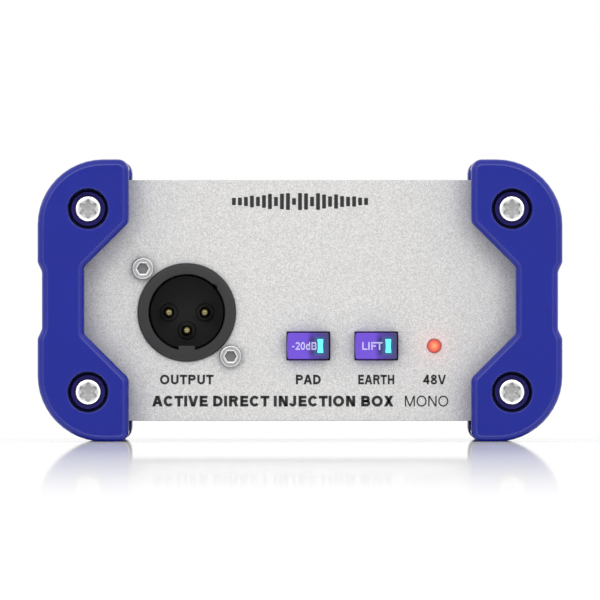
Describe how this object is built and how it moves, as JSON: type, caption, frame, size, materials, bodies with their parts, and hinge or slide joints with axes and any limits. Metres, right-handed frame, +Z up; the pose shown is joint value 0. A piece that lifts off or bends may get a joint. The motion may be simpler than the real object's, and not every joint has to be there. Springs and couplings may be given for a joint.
{
  "type": "direct injection box",
  "caption": "Compact audio direct injection box: aluminium case with four moulded bumpers, XLR output, lit push buttons and rear jack sockets.",
  "frame": {"origin": "on the floor under the middle of the box, at the bottom centre of its bounding box", "axes": "+X to the right seen from the front, +Y from the front panel to the rear panel, +Z up"},
  "size_m": [0.1134, 0.137, 0.061],
  "materials": {
    "case_silver": "bead-blasted and clear anodised, fine satin grain",
    "bumper_blue": "moulded, satin, with soft rounded edges",
    "bright_steel": "bright zinc or nickel plate",
    "plain_steel": "plain plated steel",
    "black_plastic": "moulded, matt",
    "gold_contact": "gold plated contact metal",
    "button_purple": "translucent moulded cap, lit from inside",
    "button_light": "clear window, lit cyan",
    "lamp_red": "clear red epoxy lens, lit",
    "board_green": "solder mask on glass epoxy board",
    "copper_coil": "enamelled copper winding under clear tape",
    "capacitor_sleeve": "shrink sleeve",
    "film_capacitor_red": "dipped box capacitor"
  },
  "bodies": {
    "case": {"chassis_sleeve": "case_silver", "front_panel": "case_silver", "rear_panel": "case_silver", "bumper_front_left": "bumper_blue", "bumper_screw_front_left_lower": "bright_steel", "bumper_screw_front_left_upper": "bright_steel", "bumper_front_right": "bumper_blue", "bumper_screw_front_right_lower": "bright_steel", "bumper_screw_front_right_upper": "bright_steel", "bumper_rear_left": "bumper_blue", "bumper_screw_rear_left_lower": "bright_steel", "bumper_screw_rear_left_upper": "bright_steel", "bumper_rear_right": "bumper_blue", "bumper_screw_rear_right_lower": "bright_steel", "bumper_screw_rear_right_upper": "bright_steel", "xlr_shell": "black_plastic", "xlr_insert": "black_plastic", "led_spacer": "black_plastic", "xlr_pin_1": "gold_contact", "xlr_pin_2": "gold_contact", "xlr_pin_3": "gold_contact", "xlr_screw_lower": "bright_steel", "xlr_nut_lower": "plain_steel", "xlr_screw_upper": "bright_steel", "xlr_nut_upper": "plain_steel", "pad_button_lamp": "button_light", "pad_switch_body": "black_plastic", "pad_return_spring": "plain_steel", "earth_button_lamp": "button_light", "earth_switch_body": "black_plastic", "earth_return_spring": "plain_steel", "phantom_led": "lamp_red", "input_jack_body": "black_plastic", "input_jack_bush": "bright_steel", "input_jack_nut": "bright_steel", "input_jack_washer": "plain_steel", "input_jack_tip_contact": "gold_contact", "link_jack_body": "black_plastic", "link_jack_bush": "bright_steel", "link_jack_nut": "bright_steel", "link_jack_washer": "plain_steel", "link_jack_tip_contact": "gold_contact", "main_board": "board_green", "transformer_core": "plain_steel", "transformer_coil": "copper_coil", "capacitor_1": "capacitor_sleeve", "capacitor_2": "capacitor_sleeve", "capacitor_3": "capacitor_sleeve", "film_capacitor_1": "film_capacitor_red", "film_capacitor_2": "film_capacitor_red", "opamp_1": "black_plastic", "opamp_2": "black_plastic"},
    "pad_button": {"pad_button_cap": "button_purple", "pad_button_window": "button_light", "pad_plunger": "black_plastic"},
    "earth_button": {"earth_button_cap": "button_purple", "earth_button_window": "button_light", "earth_plunger": "black_plastic"}
  },
  "joints": [
    {"name": "pad_button_press", "type": "slide", "parent": "case", "child": "pad_button", "axis": [0, 1, 0], "range_m": [0, 0.0023], "stiffness_N_per_m": 400, "springref_m": -0.002, "deforming": ["pad_return_spring"]},
    {"name": "earth_button_press", "type": "slide", "parent": "case", "child": "earth_button", "axis": [0, 1, 0], "range_m": [0, 0.0023], "stiffness_N_per_m": 400, "springref_m": -0.002, "deforming": ["earth_return_spring"]}
  ]
}
